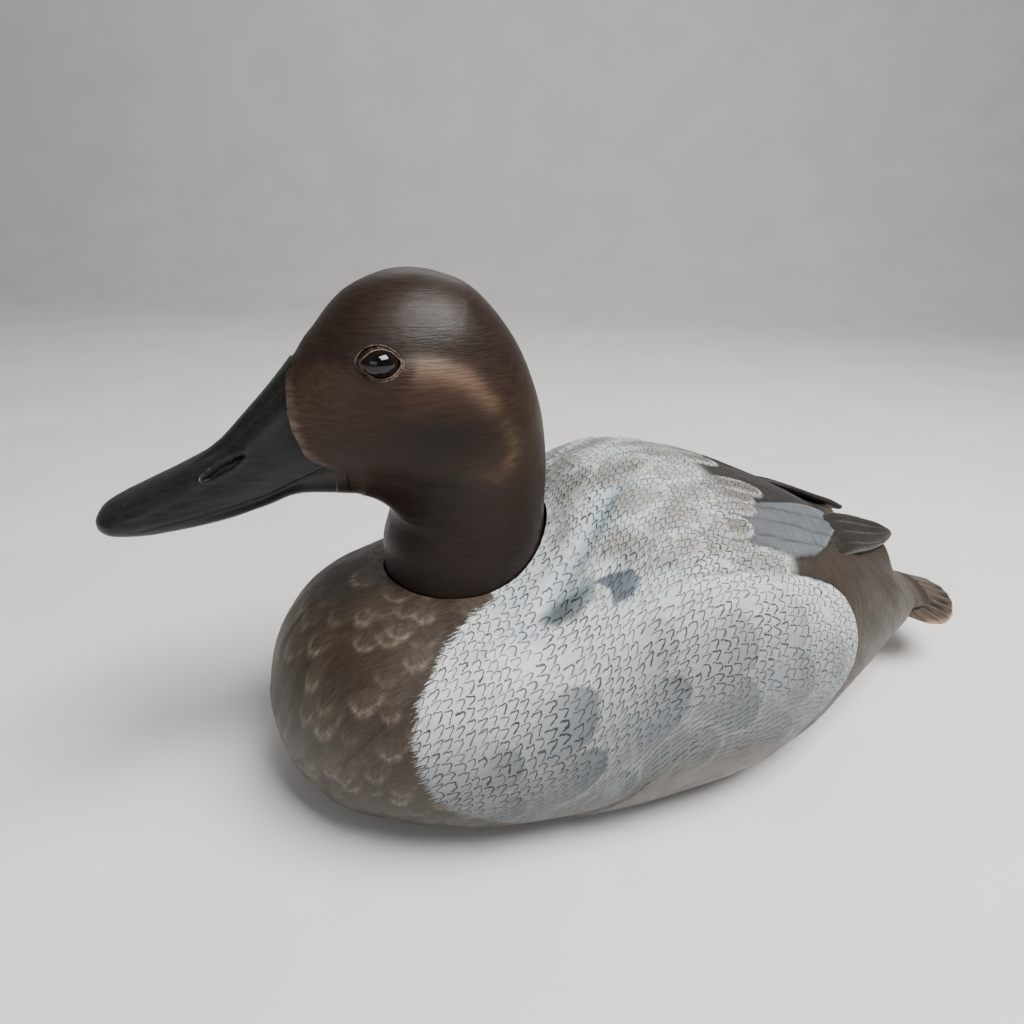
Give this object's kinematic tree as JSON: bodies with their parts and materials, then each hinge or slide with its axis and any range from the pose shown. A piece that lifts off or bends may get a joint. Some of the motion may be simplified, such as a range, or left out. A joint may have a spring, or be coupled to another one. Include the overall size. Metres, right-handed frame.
{
  "type": "floating duck decoy",
  "caption": "Hollow carved wooden diving-duck decoy with painted plumage, glass eyes, a turning head, flush ballast and a folding anchor-line ring.",
  "frame": {"origin": "on the surface it stands on, at the middle of its overall length and width", "axes": "bill towards -Y, the duck's left side +X, up +Z"},
  "size_m": [0.139, 0.343, 0.173],
  "materials": {
    "body_paint": "hand-painted, satin",
    "board_paint": "painted, dull",
    "head_paint": "hand-painted, satin",
    "bill_paint": "painted black, satin",
    "eye_glass": "black glass, glossy",
    "eyelid_putty": "painted putty, satin",
    "wing_paint": "hand-painted, satin",
    "tail_paint": "hand-painted, satin",
    "dowel": "bare birch",
    "brass": "dull brass",
    "lead": "dull lead",
    "nylon": "matt",
    "steel": "zinc plated"
  },
  "bodies": {
    "body": {"upper_body": "body_paint", "bottom_board": "board_paint", "left_wing_tip": "wing_paint", "right_wing_tip": "wing_paint", "tail": "tail_paint", "tail_pins": "dowel", "locating_dowels": "dowel", "board_screws": "brass", "ballast_weight": "lead", "ballast_screws": "brass", "line_tie_plate": "brass", "line_tie_screws": "brass", "neck_washer": "nylon"},
    "head": {"head": "head_paint", "bill": "bill_paint", "left_eye": "eye_glass", "right_eye": "eye_glass", "left_eyelid": "eyelid_putty", "right_eyelid": "eyelid_putty", "head_bolt": "steel", "bolt_washer": "steel", "spring_washer": "steel", "lock_nut": "steel"},
    "line_ring": {"line_tie_ring": "brass"}
  },
  "joints": [
    {"name": "head_turn", "type": "hinge", "parent": "body", "child": "head", "pos_m": [0, -0.0635, 0.0705], "axis": [0, 0, 1], "range_deg": [-90, 90]},
    {"name": "line_ring_fold", "type": "hinge", "parent": "body", "child": "line_ring", "pos_m": [0, -0.0945, 0.0033], "axis": [-1, 0, 0], "range_deg": [0, 120]}
  ]
}
